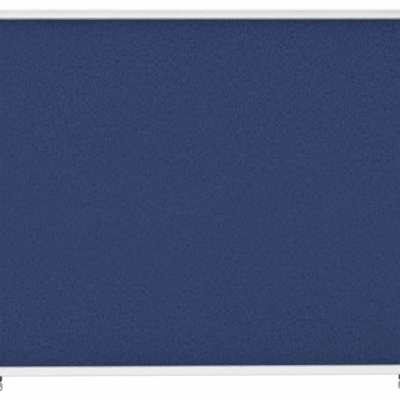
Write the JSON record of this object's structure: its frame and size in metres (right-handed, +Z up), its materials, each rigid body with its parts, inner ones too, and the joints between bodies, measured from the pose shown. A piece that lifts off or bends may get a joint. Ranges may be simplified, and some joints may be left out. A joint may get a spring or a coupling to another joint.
{
  "type": "notice display case",
  "caption": "Wall-hung notice case: felt board in a shallow aluminium case, top-hinged glazed door on gas struts, hook locks with keys along the lower rail.",
  "frame": {"origin": "middle of the back sheet's rear face, which lies on the wall", "axes": "+X to the right along the width, +Y into the wall, +Z up; the glazed front faces -Y"},
  "size_m": [1.39, 0.045, 1.0201],
  "materials": {
    "anodised_aluminium": "satin",
    "corner_moulding": "satin",
    "galvanised_sheet": "matte",
    "soft_fibreboard": "matte",
    "blue_felt": "matte",
    "black_seal": "matte",
    "grey_gasket": "matte",
    "clear_glass": "polished",
    "bright_steel": "satin",
    "strut_black": "satin",
    "lock_nickel": "satin",
    "key_nickel": "satin"
  },
  "bodies": {
    "case": {"case_rail_bottom": "anodised_aluminium", "case_rail_top": "anodised_aluminium", "case_stile_left": "anodised_aluminium", "case_stile_right": "anodised_aluminium", "case_corner_bottom_left": "corner_moulding", "case_corner_bottom_right": "corner_moulding", "case_corner_top_left": "corner_moulding", "case_corner_top_right": "corner_moulding", "back_sheet": "galvanised_sheet", "board_core": "soft_fibreboard", "felt_cover": "blue_felt", "case_seal": "black_seal", "fixing_cap_bottom_left": "corner_moulding", "fixing_cap_bottom_right": "corner_moulding", "fixing_cap_top_left": "corner_moulding", "fixing_cap_top_right": "corner_moulding", "hinge_leaf_case": "anodised_aluminium", "hinge_pin": "bright_steel", "strut_bracket_case_left": "bright_steel", "strut_bracket_case_right": "bright_steel", "strike_plate_left": "bright_steel", "strike_plate_right": "bright_steel"},
    "door": {"hinge_leaf_door": "anodised_aluminium", "door_rail_bottom": "anodised_aluminium", "door_rail_top": "anodised_aluminium", "door_stile_left": "anodised_aluminium", "door_stile_right": "anodised_aluminium", "door_corner_bottom_left": "corner_moulding", "door_corner_bottom_right": "corner_moulding", "door_corner_top_left": "corner_moulding", "door_corner_top_right": "corner_moulding", "glass_pane": "clear_glass", "glass_gasket": "grey_gasket", "strut_bracket_door_left": "bright_steel", "strut_bracket_door_right": "bright_steel", "lock_carrier_left": "corner_moulding", "lock_carrier_right": "corner_moulding", "lock_body_left": "lock_nickel", "lock_body_right": "lock_nickel"},
    "strut_rod_left": {"strut_rod_left": "bright_steel"},
    "strut_rod_right": {"strut_rod_right": "bright_steel"},
    "strut_cylinder_left": {"strut_cylinder_left": "strut_black"},
    "strut_cylinder_right": {"strut_cylinder_right": "strut_black"},
    "lock_plug_left": {"lock_plug_left": "lock_nickel", "lock_hook_left": "bright_steel", "cam_screw_left": "bright_steel"},
    "lock_plug_right": {"lock_plug_right": "lock_nickel", "lock_hook_right": "bright_steel", "cam_screw_right": "bright_steel"},
    "key_left": {"key_left": "key_nickel"},
    "key_right": {"key_right": "key_nickel"}
  },
  "joints": [
    {"name": "door_hinge", "type": "hinge", "parent": "case", "child": "door", "pos_m": [0, -0.0216, 0.4875], "axis": [-1, 0, 0], "range_deg": [0, 75]},
    {"name": "strut_swing_left", "type": "hinge", "parent": "case", "child": "strut_rod_left", "pos_m": [-0.661, -0.0172, 0.1175], "axis": [1, 0, 0], "range_deg": [0, 9.6]},
    {"name": "strut_slide_left", "type": "slide", "parent": "strut_rod_left", "child": "strut_cylinder_left", "axis": [0, -0.0373, 0.9993], "range_m": [0, 0.0662]},
    {"name": "strut_swing_right", "type": "hinge", "parent": "case", "child": "strut_rod_right", "pos_m": [0.661, -0.0172, 0.1175], "axis": [1, 0, 0], "range_deg": [0, 9.6]},
    {"name": "strut_slide_right", "type": "slide", "parent": "strut_rod_right", "child": "strut_cylinder_right", "axis": [0, -0.0373, 0.9993], "range_m": [0, 0.0662]},
    {"name": "lock_turn_left", "type": "hinge", "parent": "door", "child": "lock_plug_left", "pos_m": [-0.539, -0.0342, -0.4905], "axis": [0, 0, -1], "range_deg": [0, 90]},
    {"name": "lock_turn_right", "type": "hinge", "parent": "door", "child": "lock_plug_right", "pos_m": [0.539, -0.0342, -0.4905], "axis": [0, 0, -1], "range_deg": [0, 90]},
    {"name": "key_slide_left", "type": "slide", "parent": "lock_plug_left", "child": "key_left", "axis": [0, 0, -1], "range_m": [0, 0.018]},
    {"name": "key_slide_right", "type": "slide", "parent": "lock_plug_right", "child": "key_right", "axis": [0, 0, -1], "range_m": [0, 0.018]}
  ],
  "couplings": [
    {"joint": "strut_swing_left", "follows": "door_hinge", "ratio": 0.12657},
    {"joint": "strut_slide_left", "follows": "door_hinge", "m_per_rad": 0.050233},
    {"joint": "strut_swing_right", "follows": "door_hinge", "ratio": 0.12657},
    {"joint": "strut_slide_right", "follows": "door_hinge", "m_per_rad": 0.050233}
  ]
}
